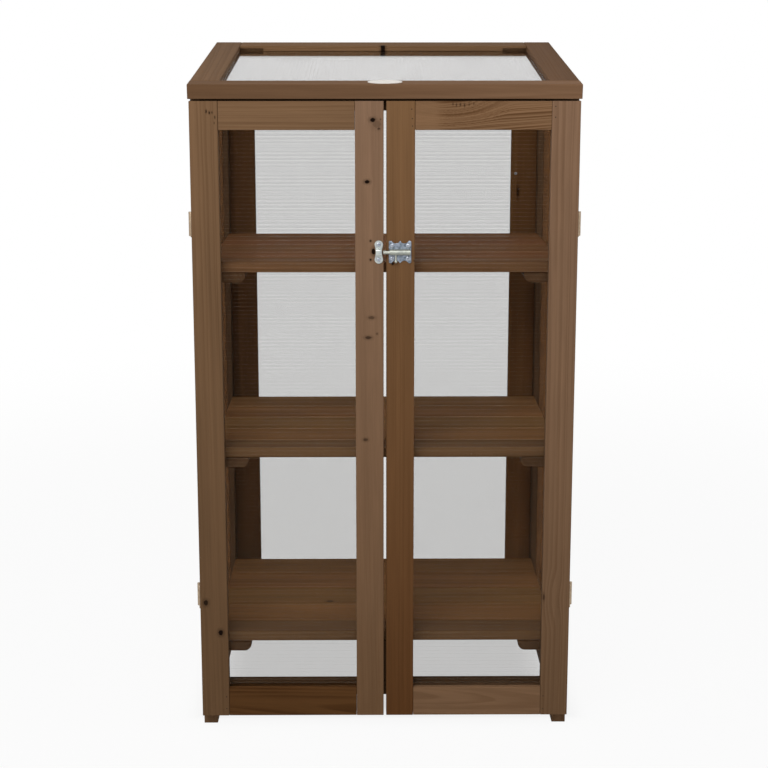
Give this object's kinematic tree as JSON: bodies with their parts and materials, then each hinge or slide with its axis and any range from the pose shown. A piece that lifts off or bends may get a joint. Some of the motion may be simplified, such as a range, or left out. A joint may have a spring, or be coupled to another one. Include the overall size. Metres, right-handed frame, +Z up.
{
  "type": "wooden mini greenhouse",
  "caption": "Upright wooden mini greenhouse with clear ribbed walls, three board shelves, a pair of bolted front doors and a hinged sloping lid.",
  "frame": {"origin": "on the ground under the middle of the whole object", "axes": "+X to the right seen from the front, +Y from the front to the back, +Z up"},
  "size_m": [0.5962, 0.4736, 1.0809],
  "materials": {
    "stained_wood": "brown stain on planed softwood, low sheen",
    "inside_wood": "brown stain on planed softwood, matt",
    "twin_wall_sheet": "clear twin-wall polycarbonate with fine horizontal ribs",
    "zinc_steel": "bright zinc plate",
    "hinge_steel": "brownish plated steel",
    "blank_badge": "plain white enamel, no lettering"
  },
  "bodies": {
    "cabinet": {"back_bottom_rail": "inside_wood", "back_left_post": "stained_wood", "back_left_stile": "inside_wood", "back_right_post": "stained_wood", "back_right_stile": "inside_wood", "back_sheet": "twin_wall_sheet", "back_top_rail": "inside_wood", "bottom_shelf_deck": "stained_wood", "bottom_shelf_left_bearer": "inside_wood", "bottom_shelf_right_bearer": "inside_wood", "door_stop_block": "inside_wood", "front_bottom_batten": "stained_wood", "front_left_post": "stained_wood", "front_right_post": "stained_wood", "front_top_batten": "stained_wood", "left_door_lower_hinge_post_leaf": "hinge_steel", "left_door_upper_hinge_post_leaf": "hinge_steel", "left_side_bottom_rail": "stained_wood", "left_side_sheet": "twin_wall_sheet", "left_side_top_rail": "stained_wood", "lid_left_hinge_back_leaf": "hinge_steel", "lid_right_hinge_back_leaf": "hinge_steel", "middle_shelf_deck": "stained_wood", "middle_shelf_left_bearer": "inside_wood", "middle_shelf_right_bearer": "inside_wood", "right_door_lower_hinge_post_leaf": "hinge_steel", "right_door_upper_hinge_post_leaf": "hinge_steel", "right_side_bottom_rail": "stained_wood", "right_side_sheet": "twin_wall_sheet", "right_side_top_rail": "stained_wood", "top_shelf_deck": "stained_wood", "top_shelf_left_bearer": "inside_wood", "top_shelf_right_bearer": "inside_wood"},
    "left_door": {"bolt_keeper": "zinc_steel", "left_door_bottom_rail": "stained_wood", "left_door_hinge_stile": "stained_wood", "left_door_lower_hinge_door_leaf": "hinge_steel", "left_door_meeting_stile": "stained_wood", "left_door_sheet": "twin_wall_sheet", "left_door_top_rail": "stained_wood", "left_door_upper_hinge_door_leaf": "hinge_steel"},
    "right_door": {"bolt_plate": "zinc_steel", "right_door_bottom_rail": "stained_wood", "right_door_hinge_stile": "stained_wood", "right_door_lower_hinge_door_leaf": "hinge_steel", "right_door_meeting_stile": "stained_wood", "right_door_sheet": "twin_wall_sheet", "right_door_top_rail": "stained_wood", "right_door_upper_hinge_door_leaf": "hinge_steel"},
    "lid": {"lid_back_rail": "stained_wood", "lid_front_rail": "stained_wood", "lid_left_hinge_lid_leaf": "hinge_steel", "lid_left_rail": "stained_wood", "lid_oval_plate": "blank_badge", "lid_right_hinge_lid_leaf": "hinge_steel", "lid_right_rail": "stained_wood", "lid_sheet": "twin_wall_sheet"},
    "bolt": {"bolt_rod": "zinc_steel"}
  },
  "joints": [
    {"name": "left_door_hinge", "type": "hinge", "parent": "cabinet", "child": "left_door", "pos_m": [-0.2952, -0.2057, 0.5], "axis": [0, 0, -1], "range_deg": [0, 180]},
    {"name": "right_door_hinge", "type": "hinge", "parent": "cabinet", "child": "right_door", "pos_m": [0.2952, -0.2057, 0.5], "axis": [0, 0, 1], "range_deg": [0, 180]},
    {"name": "lid_hinge", "type": "hinge", "parent": "cabinet", "child": "lid", "pos_m": [0, 0.202, 1.05143], "axis": [-1, 0, 0], "range_deg": [0, 103]},
    {"name": "bolt_slide", "type": "slide", "parent": "right_door", "child": "bolt", "axis": [1, 0, 0], "range_m": [-0.006, 0.016]}
  ]
}
